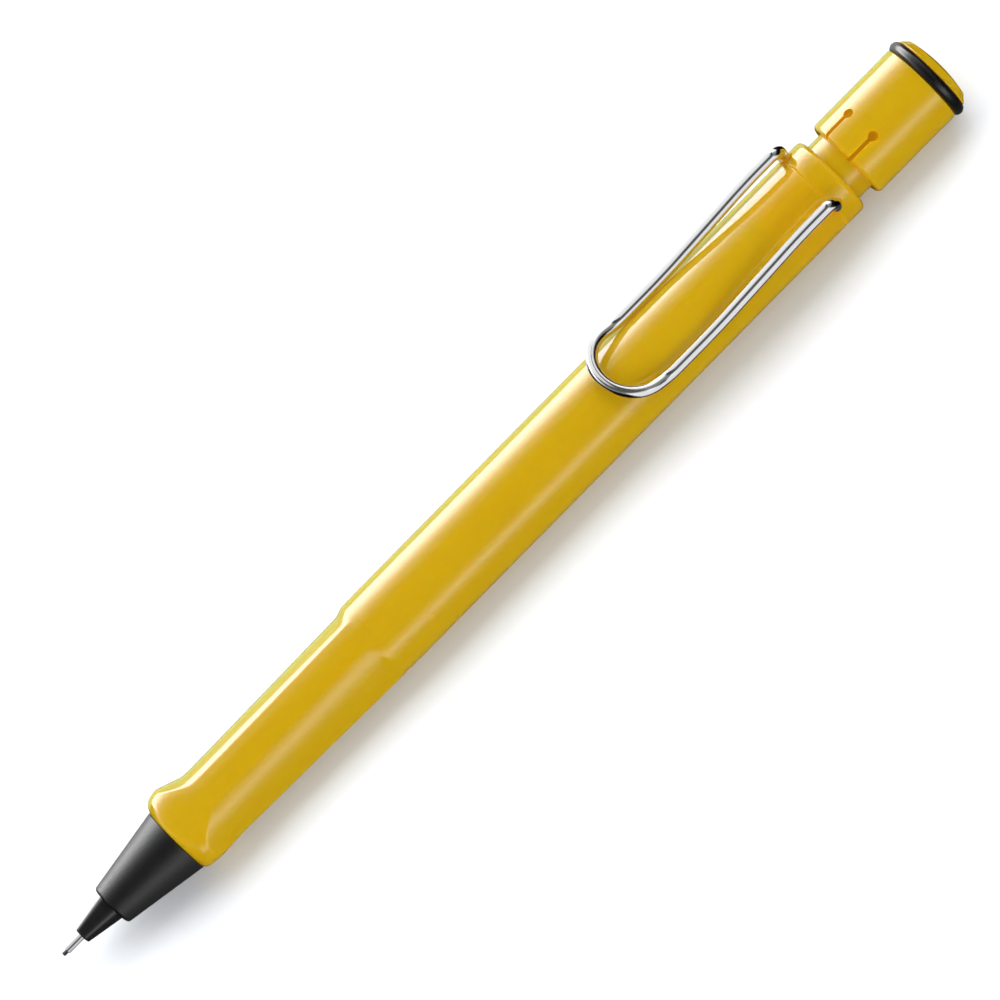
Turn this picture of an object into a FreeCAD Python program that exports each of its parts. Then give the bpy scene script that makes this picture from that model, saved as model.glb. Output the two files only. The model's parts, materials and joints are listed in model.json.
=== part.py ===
"""Mechanical pencil: a cap-actuated 0.5 mm clutch pencil with a moulded three-sided grip.

Every piece is turned or bent about one common axis. While it is being made, a piece lies
along X with the tip of its lead sleeve at station 0, stations growing toward the push cap,
and its axis on Z = 0. The clip points toward +Z. Angles about the axis are counted from the
clip direction. place() then moves each piece into the pencil's own frame: the middle of its
length at X = 0, its lowest point on Z = 0. All sizes are in millimetres.
"""
import FreeCAD
import Part
import math
import os
from FreeCAD import Vector

# ---- driving dimensions -------------------------------------------------------------
CAP_END = 139.0          # station of the push cap's end
LEAD_OUT = 0.65          # lead showing beyond its sleeve
LEAD_R = 0.25            # 0.5 mm lead
LEAD_LENGTH = 60.0       # a standard lead
RUNNING = 0.05           # radial clearance of sliding fits

GUIDE_R = 0.27           # holes that grip the lead

SLEEVE_R = 0.40          # steel lead sleeve
SLEEVE_END = 6.0         # it is held in the tip cone up to here
TIP_START = 2.35         # front of the metal tip cone
TIP_FACE_R = 1.0
TIP_REAR_R = 1.81        # tip cone where it leaves the black cone
TIP_BORE = 1.3           # seat of the rubber retainer
TIP_REAR_BORE = 1.85     # room for the chuck jaws
FLANGE_START = 9.04      # flange that holds the tip cone in the black cone
FLANGE_END = 11.9
CONE_START = 7.04        # front of the black cone
CONE_FACE_R = 2.64
BARREL_START = 17.5      # front of the barrel
CONE_END_R = 4.28        # black cone where it meets the barrel
BARREL_FACE_R = 4.25     # edge of the barrel's front face
THREAD_R = 3.2           # crest of the cone's screw thread
THREAD_ROOT = 2.95
THREAD_PITCH = 0.8
SPIGOT_END = 24.5        # rear end of the threaded spigot
SEAT_END = 25.6          # shoulder inside the barrel
SEAT_BORE = 2.9          # barrel bore behind that shoulder
CONE_BORE = 2.5          # bore of the black cone round the clutch

LIP_STATION = 19.7       # crest of the finger lips
LIP_R = 5.64             # lip crest from the axis
GRIP_END = 47.4          # facets start to run out
GRIP_RUNOUT = 49.2       # facets have run out
RIDGE_HALF = 20.4        # half the angle that a ridge takes up
RIDGE_FRONT_R = 4.6
RIDGE_REAR_R = 5.12
FACET_FRONT_R = 4.38     # middle of a facet from the axis
FACET_REAR_R = 4.66
NOSE_END = 25.5          # nose lobes have faded into the ridges
NOSE_STATIONS = (17.5, 17.6, 17.75, 18.0, 18.35, 18.8, 19.3, 19.8, 20.5, 21.5, 22.5, 23.5, 24.5, NOSE_END)
LOBE = 1.12              # how much farther out the nose is between the ridges
# how far the facets flare outward: station, flare
FACET_FLARE = ((17.0, 2.2), (22.0, 0.38), (22.6, 0.18), (23.3, 0.05), (24.3, 0.0))
BARREL_R = 5.15
BLANK_TAPER = 0.012      # growth of the blank's radius behind the grip, per mm
ENVELOPE_R = 6.6         # clear of every lip
BARREL_END = 119.05
BARREL_BORE = 3.9
BORE_STEP = 48.5         # the bore starts to widen
COLLAR_START = 119.1
COLLAR_END = 122.0
COLLAR_R = 5.17
COLLAR_SPIGOT_START = 112.0
COLLAR_SPIGOT_R = 4.6

NECK_R = 4.05
NECK_START = 114.0
CAP_START = 124.0
CAP_R = 5.2
CAP_BORE = 3.8
NECK_END = 131.5
NECK_SPIGOT_R = 3.6      # part of the neck inside the cap
SNAP_BEAD = 126.6        # station of the bead that the cap snaps over
CAP_FLOOR = 132.6        # end of the cap's main bore
SLOT_ANGLES = (-22.5, 22.5, 157.5, 202.5)
SLOT_WIDTH = 0.5
SLOT_HOLE_R = 0.6
SLOT_HOLE_STATION = 127.7
RING_STATION = 136.9
RING_SECTION_R = 0.75
RING_OUTER_R = 5.5

CLIP_WIRE_R = 0.72
CLIP_HALF_SPAN = 4.4     # wire centre to the pencil's middle plane
CLIP_HOLE_STATION = 119.3
CLIP_HOLE_ANGLE = 51.5
CLIP_HOLE_R = 0.97

CLUTCH_RING_R = 2.2
CLUTCH_RING_BORE = 1.2
RING_START = 12.6        # clutch ring at rest
RING_END = 16.36
WEB_START = 16.4         # spring seat inside the clutch sleeve
WEB_END = 17.1
JAW_START = 11.6
JAW_END = 21.98
JAW_SHANK_R = 1.0
JAW_HEAD_R = 1.55
JAW_LEAD_IN = 0.6        # length of the jaw head's front taper
JAW_TAPER = 12.0         # half-angle of the jaw head's cone
JAW_SECTOR = 112         # angle that one jaw takes up
CHUCK_BORE = 0.6
STEM_START = 22.0
STEM_R = 1.05
STEM_END = 31.0
COUPLER_START = 27.0
COUPLER_R = 2.1
COUPLER_END = 34.0
TUBE_R = 1.95
TUBE_BORE = 1.5
TUBE_START = 28.4
TUBE_END = 118.0
SPRING_WIRE_R = 0.175
SPRING_MEAN_R = 1.6
SPRING_TURNS = 8

ERASER_R = 2.4
ERASER_START = 125.2
ERASER_END = 135.0
FERRULE_R = 2.8
FERRULE_RIM_R = 3.2

AXIS_HEIGHT = LIP_R      # the lowest finger lip touches Z = 0
MIDDLE = (CAP_END - LEAD_OUT) / 2


# ---- shared helpers -----------------------------------------------------------------
def rounded_edges(corners, closed):
    """Lines through the corner points, joined by tangent arcs where a rounding is given.

    corners is a list of (Vector, rounding radius) pairs.
    """
    joins = []
    for index, (here, rounding) in enumerate(corners):
        if not rounding:
            joins.append((here, None, here))
            continue
        back = (corners[index - 1][0] - here).normalize()
        ahead = (corners[(index + 1) % len(corners)][0] - here).normalize()
        half = back.getAngle(ahead) / 2
        reach = rounding / math.tan(half)
        to_centre = (back + ahead).normalize()
        middle = here + to_centre * (rounding / math.sin(half) - rounding)
        joins.append((here + back * reach, middle, here + ahead * reach))
    edges = []
    for index, (start, middle, end) in enumerate(joins):
        if middle:
            edges.append(Part.Arc(start, middle, end).toShape())
        following = joins[(index + 1) % len(joins)][0]
        last = index == len(joins) - 1
        if (closed or not last) and end.distanceToPoint(following) > 1e-6:
            edges.append(Part.makeLine(end, following))
    return edges


def outline_face(outline):
    """Flat face in the XZ plane from (station, radius[, rounding]) corners."""
    corners = []
    for corner in outline:
        rounding = corner[2] if len(corner) > 2 else 0
        corners.append((Vector(corner[0], 0, corner[1]), rounding))
    return Part.Face(Part.Wire(rounded_edges(corners, True)))


def turned(outline, angle=360):
    """Solid of revolution about the pencil's axis."""
    return outline_face(outline).revolve(Vector(0, 0, 0), Vector(1, 0, 0), angle)


def tube(start, end, outer, inner):
    """Plain tube along the pencil's axis."""
    return turned([(start, inner), (start, outer), (end, outer), (end, inner)])


def spun(shape, angle):
    """Copy of a shape turned about the pencil's axis."""
    copy = shape.copy()
    copy.rotate(Vector(0, 0, 0), Vector(1, 0, 0), angle)
    return copy


def polar(station, radius, angle):
    """Point at an angle from the clip direction."""
    turn = math.radians(angle)
    return Vector(station, radius * math.sin(turn), radius * math.cos(turn))


def place(shape):
    """Moves a piece from its stations into the pencil's own frame."""
    shape.translate(Vector(-MIDDLE, 0, AXIS_HEIGHT))
    return shape


# ---- barrel and what is fixed to it -------------------------------------------------
def blank_section(station):
    """Nose before its facets are cut: a round face that swells into three lobes."""
    behind = station - BARREL_START
    ridge_r = RIDGE_FRONT_R - (RIDGE_FRONT_R - BARREL_FACE_R) * math.exp(-behind / 0.25)
    ridge_r += ridge_radius(station) - RIDGE_FRONT_R
    fade = min(max((station - LIP_STATION) / (NOSE_END - LIP_STATION), 0), 1)
    lobe = LOBE * (1 - math.exp(-behind / 0.8)) * (1 - fade ** 2 * (3 - 2 * fade))
    points = []
    for angle in range(0, 360, 10):
        share = (1 - math.cos(math.radians(3 * angle))) / 2
        points.append(polar(station, ridge_r + lobe * share, angle))
    curve = Part.BSplineCurve()
    curve.interpolate(points, PeriodicFlag=True)
    return Part.Wire(curve.toShape())


def facet_section(station, edge_r, middle_r):
    """Three flat arcs, each middle_r from the axis at its middle and edge_r where a ridge starts."""
    half = math.radians(60 - RIDGE_HALF)
    centre = (edge_r ** 2 - middle_r ** 2) / (2 * (edge_r * math.cos(half) - middle_r))
    arc_r = middle_r - centre
    corner_r = centre / 2 + math.sqrt(arc_r ** 2 - 0.75 * centre ** 2)
    edges = []
    for turn in (0, 120, 240):
        start = polar(station, corner_r, turn)
        end = polar(station, corner_r, turn + 120)
        edges.append(Part.Arc(start, polar(station, middle_r, turn + 60), end).toShape())
    return Part.Wire(edges)


def ridge_radius(station):
    """Radius along a ridge; behind the grip it goes on growing, past the round barrel's."""
    if station > GRIP_RUNOUT:
        return RIDGE_REAR_R + BLANK_TAPER * (station - GRIP_RUNOUT)
    share = (station - LIP_STATION) / (GRIP_RUNOUT - LIP_STATION)
    return RIDGE_FRONT_R + (RIDGE_REAR_R - RIDGE_FRONT_R) * max(share, 0)


def facet_radius(station):
    """Distance from the axis to the middle of a facet, before it flares."""
    share = (station - LIP_STATION) / (GRIP_END - LIP_STATION)
    return FACET_FRONT_R + (FACET_REAR_R - FACET_FRONT_R) * share


def lofted_blank():
    """Barrel blank: lobed nose, tapering grip, then a cone slightly wider than the round barrel."""
    rear = BARREL_END + 1
    sections = [blank_section(station) for station in NOSE_STATIONS + (GRIP_RUNOUT, rear)]
    return Part.makeLoft(sections, True, True)


def facet_tool():
    """Three-sided solid that leaves the grip's facets, flaring out at the finger lips."""
    sections = []
    for station, flare in FACET_FLARE:
        edge = ridge_radius(station) + flare
        sections.append(facet_section(station, edge, facet_radius(station) + flare))
    sections.append(facet_section(GRIP_END, ridge_radius(GRIP_END), FACET_REAR_R))
    clear = RIDGE_REAR_R + 0.05
    sections.append(facet_section(GRIP_RUNOUT, clear, clear - 0.001))
    sections.append(facet_section(BARREL_END + 1, ENVELOPE_R, ENVELOPE_R - 0.001))
    return Part.makeLoft(sections, True, True)


def clip_holes():
    """Two radial holes at the parting line, one for each end of the clip wire."""
    holes = []
    for side in (-1, 1):
        inner = polar(CLIP_HOLE_STATION, NECK_R, side * CLIP_HOLE_ANGLE)
        outward = polar(0, 1, side * CLIP_HOLE_ANGLE)
        holes.append(Part.makeCylinder(CLIP_HOLE_R, 2.5, inner - outward * 0.4, outward))
    return holes


def barrel():
    """Glossy one-piece moulding: nose with finger lips, faceted grip, round barrel."""
    envelope = turned([
        (BARREL_START - 1, 0),
        (BARREL_START - 1, ENVELOPE_R),
        (GRIP_RUNOUT, ENVELOPE_R),
        (GRIP_RUNOUT + 1.5, BARREL_R),
        (BARREL_END, BARREL_R, 0.15),
        (BARREL_END, 0),
    ])
    body = lofted_blank().common(facet_tool()).common(envelope)
    bore = turned([
        (BARREL_START - 1, 0),
        (BARREL_START - 1, THREAD_R + RUNNING),
        (SEAT_END, THREAD_R + RUNNING),
        (SEAT_END, SEAT_BORE),
        (BORE_STEP, SEAT_BORE),
        (BORE_STEP + 2, BARREL_BORE),
        (COLLAR_SPIGOT_START, BARREL_BORE),
        (COLLAR_SPIGOT_START, COLLAR_SPIGOT_R),
        (BARREL_END + 1, COLLAR_SPIGOT_R),
        (BARREL_END + 1, 0),
    ])
    return body.cut([bore] + clip_holes()).removeSplitter()


def barrel_collar():
    """Rear ring with a long spigot pressed into the barrel; it traps the clip's ends."""
    collar = turned([
        (COLLAR_SPIGOT_START, NECK_R + RUNNING),
        (COLLAR_SPIGOT_START, COLLAR_SPIGOT_R),
        (COLLAR_START, COLLAR_SPIGOT_R),
        (COLLAR_START, COLLAR_R, 0.15),
        (COLLAR_END, COLLAR_R, 0.7),
        (COLLAR_END, NECK_R + RUNNING),
    ])
    return collar.cut(clip_holes())


def clip():
    """One bent wire: legs along the barrel, a raised U at the front, ends turned inward."""
    span = CLIP_HALF_SPAN
    half = [
        (Vector(87.3, span, 6.5), span),
        (Vector(93.0, span, 4.0), 6),
        (Vector(100.6, span, 4.0), 40),
        (Vector(114.3, span + 0.05, 6.03), 30),
        (Vector(CLIP_HOLE_STATION, span + 0.05, 6.03), 1.3),
        (polar(CLIP_HOLE_STATION, 5.65, CLIP_HOLE_ANGLE), 2.1),
        (polar(CLIP_HOLE_STATION, 4.32, CLIP_HOLE_ANGLE), 0),
    ]
    mirrored = [(Vector(p.x, -p.y, p.z), rounding) for p, rounding in reversed(half)]
    path = Part.Wire(rounded_edges(mirrored + half, False))
    start = path.OrderedVertexes[0].Point
    inward = (start - mirrored[1][0]).normalize()
    section = Part.Wire(Part.makeCircle(CLIP_WIRE_R, start, inward))
    wire = path.makePipeShell([section], True, True)
    expected = math.pi * CLIP_WIRE_R ** 2 * path.Length
    print("clip wire volume / section x length:", round(wire.Volume / expected, 4))
    return wire


def clutch_sleeve():
    """Metal sleeve seated in the barrel: guides the clutch ring and seats the spring."""
    return turned([
        (FLANGE_END + RUNNING, CLUTCH_RING_R + RUNNING),
        (FLANGE_END + RUNNING, CONE_BORE - RUNNING),
        (SPIGOT_END + 0.1, CONE_BORE - RUNNING),
        (SPIGOT_END + 0.1, THREAD_R - RUNNING),
        (SEAT_END, THREAD_R - RUNNING),
        (SEAT_END, CLUTCH_RING_R),
        (WEB_END, CLUTCH_RING_R),
        (WEB_END, 1.3),
        (WEB_START, 1.3),
        (WEB_START, CLUTCH_RING_R + RUNNING),
    ])


# ---- tip unit -----------------------------------------------------------------------
def front_cone():
    """Black cone with a threaded spigot that screws into the barrel."""
    shoulder = BARREL_START - RUNNING
    outline = [
        (CONE_START, TIP_REAR_R + 0.02),
        (CONE_START, CONE_FACE_R, 0.45),
        (shoulder, CONE_END_R, 0.12),
        (shoulder, THREAD_ROOT),
    ]
    turns = int((SPIGOT_END - shoulder - 1.4) / THREAD_PITCH)
    for turn in range(turns):
        start = shoulder + 0.9 + turn * THREAD_PITCH
        outline += [
            (start, THREAD_ROOT),
            (start + 0.3 * THREAD_PITCH, THREAD_R),
            (start + 0.45 * THREAD_PITCH, THREAD_R),
            (start + 0.75 * THREAD_PITCH, THREAD_ROOT),
        ]
    outline += [
        (SPIGOT_END, THREAD_ROOT, 0.2),
        (SPIGOT_END, CONE_BORE),
        (FLANGE_START, CONE_BORE),
        (FLANGE_START, TIP_REAR_R + 0.02),
    ]
    return turned(outline)


def tip_cone():
    """Gloss metal cone, pressed in from behind up to its flange."""
    return turned([
        (TIP_START, SLEEVE_R),
        (TIP_START, TIP_FACE_R, 0.25),
        (CONE_START, TIP_REAR_R),
        (FLANGE_START, TIP_REAR_R),
        (FLANGE_START, CONE_BORE),
        (FLANGE_END, CONE_BORE),
        (FLANGE_END, TIP_REAR_BORE),
        (9.4, TIP_REAR_BORE),
        (9.0, TIP_BORE),
        (SLEEVE_END, TIP_BORE),
        (SLEEVE_END, SLEEVE_R),
    ])


def lead_sleeve():
    """Fine steel tube that guides the lead."""
    return turned([
        (0, LEAD_R + RUNNING),
        (0, SLEEVE_R, 0.04),
        (SLEEVE_END, SLEEVE_R),
        (SLEEVE_END, LEAD_R + RUNNING),
    ])


def lead_retainer():
    """Rubber brake that keeps the lead from sliding back."""
    return turned([
        (SLEEVE_END, GUIDE_R),
        (SLEEVE_END, TIP_BORE),
        (8.9, TIP_BORE),
        (8.9, 0.8),
        (7.9, GUIDE_R),
    ])


# ---- clutch -------------------------------------------------------------------------
def jaw_cone_radius(station):
    """Radius of the jaw head's closing cone."""
    return JAW_HEAD_R - (station - JAW_START - JAW_LEAD_IN) * math.tan(math.radians(JAW_TAPER))


def clutch_ring():
    """Brass ring that closes the jaws on the lead."""
    taper = math.tan(math.radians(JAW_TAPER))
    mouth = jaw_cone_radius(RING_START) + 0.025
    return turned([
        (RING_START, mouth),
        (RING_START, CLUTCH_RING_R, 0.1),
        (RING_END, CLUTCH_RING_R, 0.1),
        (RING_END, CLUTCH_RING_BORE),
        (RING_START + (mouth - CLUTCH_RING_BORE) / taper, CLUTCH_RING_BORE),
    ])


def chuck_jaw(number):
    """One third of the split chuck, a little narrower than 120 degrees."""
    lead_in_end = JAW_START + JAW_LEAD_IN
    taper_end = lead_in_end + (JAW_HEAD_R - JAW_SHANK_R) / math.tan(math.radians(JAW_TAPER))
    jaw = turned([
        (JAW_START, GUIDE_R),
        (JAW_START, JAW_HEAD_R - 0.1),
        (lead_in_end, JAW_HEAD_R),
        (taper_end, JAW_SHANK_R),
        (JAW_END, JAW_SHANK_R),
        (JAW_END, CHUCK_BORE),
        (JAW_START + 1.8, CHUCK_BORE),
        (JAW_START + 1.6, GUIDE_R),
    ], JAW_SECTOR)
    return spun(jaw, -JAW_SECTOR / 2 + number * 120)


def chuck_stem():
    """Tube that carries the three jaws."""
    return tube(STEM_START, STEM_END, STEM_R, CHUCK_BORE)


def tube_coupler():
    """Bush that joins the chuck to the lead tube; its flange seats the spring."""
    return turned([
        (COUPLER_START, STEM_R),
        (COUPLER_START, COUPLER_R, 0.15),
        (TUBE_START, COUPLER_R, 0.15),
        (TUBE_START, TUBE_BORE),
        (COUPLER_END, TUBE_BORE),
        (COUPLER_END, 1.1),
        (COUPLER_END - 1, 0.8),
        (STEM_END, 0.8),
        (STEM_END, STEM_R),
    ])


def return_spring():
    """Round-wire compression spring round the chuck, at its resting length."""
    length = COUPLER_START - WEB_END - 2 * SPRING_WIRE_R - 0.02
    helix = Part.makeHelix(length / SPRING_TURNS, length, SPRING_MEAN_R)
    helix.rotate(Vector(0, 0, 0), Vector(0, 1, 0), 90)
    helix.translate(Vector(WEB_END + SPRING_WIRE_R + 0.01, 0, 0))
    path = Part.Wire(helix.Edges)
    first = path.Edges[0]
    start = first.valueAt(first.FirstParameter)
    along = first.tangentAt(first.FirstParameter)
    section = Part.Wire(Part.makeCircle(SPRING_WIRE_R, start, along))
    return path.makePipeShell([section], True, True)


# ---- lead, lead tube and push cap ---------------------------------------------------
def lead(start, offset=0.0, angle=0.0):
    """A stick of lead from a start station, at an offset from the axis."""
    rod = Part.makeCylinder(LEAD_R, LEAD_LENGTH, Vector(start, 0, 0), Vector(1, 0, 0))
    rod.translate(polar(0, offset, angle))
    return rod


def writing_lead():
    """The lead in use, held in the chuck and showing beyond its sleeve."""
    return lead(-LEAD_OUT)


def spare_leads():
    """Three loose leads lying in the lead tube."""
    floor_r = TUBE_BORE - LEAD_R - 0.04
    return Part.makeCompound([lead(COUPLER_END + 1, floor_r, angle) for angle in (145, 180, 215)])


def lead_tube():
    """Magazine for spare leads; it pushes the chuck forward."""
    return tube(TUBE_START, TUBE_END, TUBE_R, TUBE_BORE)


def button_neck():
    """Sliding neck: carries the lead tube in front and the push cap behind."""
    return turned([
        (NECK_START, TUBE_R),
        (NECK_START, NECK_R, 0.3),
        (CAP_START - 0.03, NECK_R),
        (CAP_START - 0.03, NECK_SPIGOT_R),
        (SNAP_BEAD - 0.4, NECK_SPIGOT_R),
        (SNAP_BEAD, CAP_BORE - RUNNING),
        (SNAP_BEAD + 0.4, NECK_SPIGOT_R),
        (NECK_END, NECK_SPIGOT_R, 0.3),
        (NECK_END, FERRULE_R + RUNNING),
        (124.5, FERRULE_R + RUNNING),
        (123.0, TUBE_BORE),
        (TUBE_END, TUBE_BORE),
        (TUBE_END, TUBE_R),
    ])


def keyhole_slot(angle):
    """Narrow slot from the cap's lower edge, ending in a round hole."""
    slot = Part.makeBox(
        SLOT_HOLE_STATION - CAP_START + 1, SLOT_WIDTH, CAP_R,
        Vector(CAP_START - 1, -SLOT_WIDTH / 2, 2))
    hole = Part.makeCylinder(
        SLOT_HOLE_R, CAP_R, Vector(SLOT_HOLE_STATION, 0, 2), Vector(0, 0, 1))
    return spun(slot.fuse(hole), -angle)


def push_cap():
    """Hollow cap with four keyhole slots, a ring groove and a chamfered, domed end."""
    groove_front = RING_STATION - RING_SECTION_R
    groove_rear = RING_STATION + RING_SECTION_R
    groove_floor = RING_OUTER_R - 2 * RING_SECTION_R
    cap = turned([
        (CAP_START, CAP_BORE),
        (CAP_START, CAP_R, 0.6),
        (groove_front, CAP_R, 0.15),
        (groove_front, groove_floor),
        (groove_rear, groove_floor),
        (groove_rear, CAP_R - 0.1, 0.1),
        (CAP_END - 0.47, 4.19, 0.35),
        (CAP_END, 2.0, 18),
        (CAP_END, 0),
        (135.6, 0),
        (135.6, 3.0),
        (CAP_FLOOR, 3.0),
        (CAP_FLOOR, CAP_BORE),
    ])
    return cap.cut([keyhole_slot(angle) for angle in SLOT_ANGLES])


def o_ring():
    """Rubber ring in the cap's groove."""
    return Part.makeTorus(
        RING_OUTER_R - RING_SECTION_R, RING_SECTION_R, Vector(RING_STATION, 0, 0), Vector(1, 0, 0))


def eraser_ferrule():
    """Thin cup with a rim, plugged into the neck."""
    return turned([
        (124.7, 0.6),
        (124.7, FERRULE_R, 0.3),
        (NECK_END + 0.03, FERRULE_R),
        (NECK_END + 0.03, FERRULE_RIM_R),
        (NECK_END + 0.6, FERRULE_RIM_R, 0.15),
        (NECK_END + 0.6, ERASER_R),
        (ERASER_START, ERASER_R),
        (ERASER_START, 0.6),
    ])


def eraser():
    """Short white eraser under the cap."""
    return turned([(ERASER_START, 0), (ERASER_START, ERASER_R), (ERASER_END, ERASER_R, 0.6), (ERASER_END, 0)])


def main():
    """Builds every piece and writes one file for each."""
    pieces = {
        "barrel": barrel(),
        "barrel_collar": barrel_collar(),
        "clip": clip(),
        "clutch_sleeve": clutch_sleeve(),
        "front_cone": front_cone(),
        "tip_cone": tip_cone(),
        "lead_sleeve": lead_sleeve(),
        "lead_retainer": lead_retainer(),
        "clutch_ring": clutch_ring(),
        "chuck_stem": chuck_stem(),
        "tube_coupler": tube_coupler(),
        "return_spring": return_spring(),
        "writing_lead": writing_lead(),
        "spare_leads": spare_leads(),
        "lead_tube": lead_tube(),
        "button_neck": button_neck(),
        "push_cap": push_cap(),
        "o_ring": o_ring(),
        "eraser_ferrule": eraser_ferrule(),
        "eraser": eraser(),
    }
    for number in range(3):
        pieces[f"chuck_jaw_{number + 1}"] = chuck_jaw(number)
    os.makedirs("parts", exist_ok=True)
    for name, shape in pieces.items():
        place(shape).exportStep(f"parts/{name}.step")
        print(f"{name:16s} solids {len(shape.Solids)}  volume {shape.Volume:9.3f} mm3"
              f"  valid {shape.isValid()}")


main()
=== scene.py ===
"""Looks of the mechanical pencil: finer meshes round the CAD frame, materials, light, camera.

Meshes are worked out in millimetres: the station along the pencil, counted from the tip of
its lead sleeve, and the distance from its axis. Angles about the axis are counted from the
clip direction. in_frame() takes them to metres in the row frame.
"""
import json
import math

import bmesh
import bpy
from mathutils import Matrix, Vector

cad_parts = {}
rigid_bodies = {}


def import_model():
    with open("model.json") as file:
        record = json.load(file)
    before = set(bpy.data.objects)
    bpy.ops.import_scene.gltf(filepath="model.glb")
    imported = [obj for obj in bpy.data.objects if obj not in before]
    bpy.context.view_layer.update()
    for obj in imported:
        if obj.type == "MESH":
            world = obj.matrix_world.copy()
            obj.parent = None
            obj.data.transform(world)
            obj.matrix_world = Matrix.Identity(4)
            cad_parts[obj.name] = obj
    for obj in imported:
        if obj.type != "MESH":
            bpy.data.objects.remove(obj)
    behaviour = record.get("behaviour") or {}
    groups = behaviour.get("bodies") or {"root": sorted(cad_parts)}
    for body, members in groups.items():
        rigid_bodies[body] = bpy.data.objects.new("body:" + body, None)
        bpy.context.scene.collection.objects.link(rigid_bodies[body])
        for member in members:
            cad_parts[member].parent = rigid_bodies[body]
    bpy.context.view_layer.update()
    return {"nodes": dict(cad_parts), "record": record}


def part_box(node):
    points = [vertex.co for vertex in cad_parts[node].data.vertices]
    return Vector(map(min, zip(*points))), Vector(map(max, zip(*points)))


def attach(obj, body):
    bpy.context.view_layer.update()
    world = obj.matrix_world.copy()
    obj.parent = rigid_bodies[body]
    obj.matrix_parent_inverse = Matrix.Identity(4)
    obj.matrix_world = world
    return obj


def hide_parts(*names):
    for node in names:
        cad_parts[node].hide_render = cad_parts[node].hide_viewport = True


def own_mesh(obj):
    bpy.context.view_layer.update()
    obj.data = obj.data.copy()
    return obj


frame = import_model()

MM = 0.001
START_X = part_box("lead_sleeve")[0].x
AXIS_Z = (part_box("lead_tube")[0].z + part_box("lead_tube")[1].z) / 2


# ---- places read from the frame -----------------------------------------------------
def front_of(node):
    return (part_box(node)[0].x - START_X) / MM


def rear_of(node):
    return (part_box(node)[1].x - START_X) / MM


def in_frame(station, y, z):
    return Vector((START_X + station * MM, y * MM, AXIS_Z + z * MM))


def polar(station, radius, angle):
    """Point at an angle in radians from the clip direction."""
    return Vector((station, radius * math.sin(angle), radius * math.cos(angle)))


def smooth_step(value):
    value = min(max(value, 0.0), 1.0)
    return value * value * (3 - 2 * value)


def spread(start, end, count):
    """Evenly spaced numbers from start to end, both included."""
    return [start + (end - start) * i / count for i in range(count + 1)]


# ---- mesh helpers -------------------------------------------------------------------
def rounded_points(corners, closed, steps=8):
    """Points along a path; its corners are (Vector, rounding radius) pairs."""
    points = []
    for index, (here, rounding) in enumerate(corners):
        if not rounding:
            points.append(here.copy())
            continue
        back = (corners[index - 1][0] - here).normalized()
        ahead = (corners[(index + 1) % len(corners)][0] - here).normalized()
        half = back.angle(ahead) / 2
        centre = here + (back + ahead).normalized() * (rounding / math.sin(half))
        first = (here + back * rounding / math.tan(half)) - centre
        last = (here + ahead * rounding / math.tan(half)) - centre
        sweep = first.angle(last)
        for share in spread(0, 1, steps):
            a = math.sin((1 - share) * sweep) / math.sin(sweep)
            b = math.sin(share * sweep) / math.sin(sweep)
            points.append(centre + first * a + last * b)
    if closed:
        points.append(points[0].copy())
    return points


def with_support(points, gap=0.05):
    """The same path with an extra point close to each end of every long straight run."""
    result = [points[0]]
    for a, b in zip(points, points[1:]):
        run = b - a
        if run.length > 4 * gap:
            result.append(a + run.normalized() * gap)
            result.append(b - run.normalized() * gap)
        result.append(b)
    return result


def outline(*corners):
    """Closed outline of a turned piece from (station, radius[, rounding]) corners."""
    path = []
    for corner in corners:
        rounding = corner[2] if len(corner) > 2 else 0
        path.append((Vector((corner[0], corner[1], 0)), rounding))
    points = with_support(rounded_points(path, True))
    return [(p.x, p.y) for p in points[:-1]]


def mesh_from(name, vertices, faces):
    """Mesh with its faces turned outward, from points in millimetres."""
    mesh = bpy.data.meshes.new(name)
    mesh.from_pydata([in_frame(*v) for v in vertices], [], faces)
    shell = bmesh.new()
    shell.from_mesh(mesh)
    bmesh.ops.recalc_face_normals(shell, faces=shell.faces)
    shell.to_mesh(mesh)
    shell.free()
    mesh.validate()
    return mesh


def ring_mesh(name, rings, steps, closed=True):
    """Mesh from rings of (station, radius), radius being a number or a function of angle.

    A ring whose radius is 0 becomes one point on the axis.
    """
    vertices = []
    starts = []
    for station, radius in rings:
        starts.append(len(vertices))
        if radius == 0:
            vertices.append(Vector((station, 0, 0)))
            continue
        for step in range(steps):
            angle = 2 * math.pi * step / steps
            r = radius(angle) if callable(radius) else radius
            vertices.append(polar(station, r, angle))
    faces = []
    count = len(rings)
    for index in range(count if closed else count - 1):
        following = (index + 1) % count
        here_point = rings[index][1] == 0
        next_point = rings[following][1] == 0
        if here_point and next_point:
            continue
        for step in range(steps):
            after = (step + 1) % steps
            a = starts[index] + (0 if here_point else step)
            b = starts[index] + (0 if here_point else after)
            c = starts[following] + (0 if next_point else after)
            d = starts[following] + (0 if next_point else step)
            faces.append([a, b, c, d] if len({a, b, c, d}) == 4 else
                         [a, c, d] if here_point else [a, b, c])
    return mesh_from(name, vertices, faces)


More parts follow.
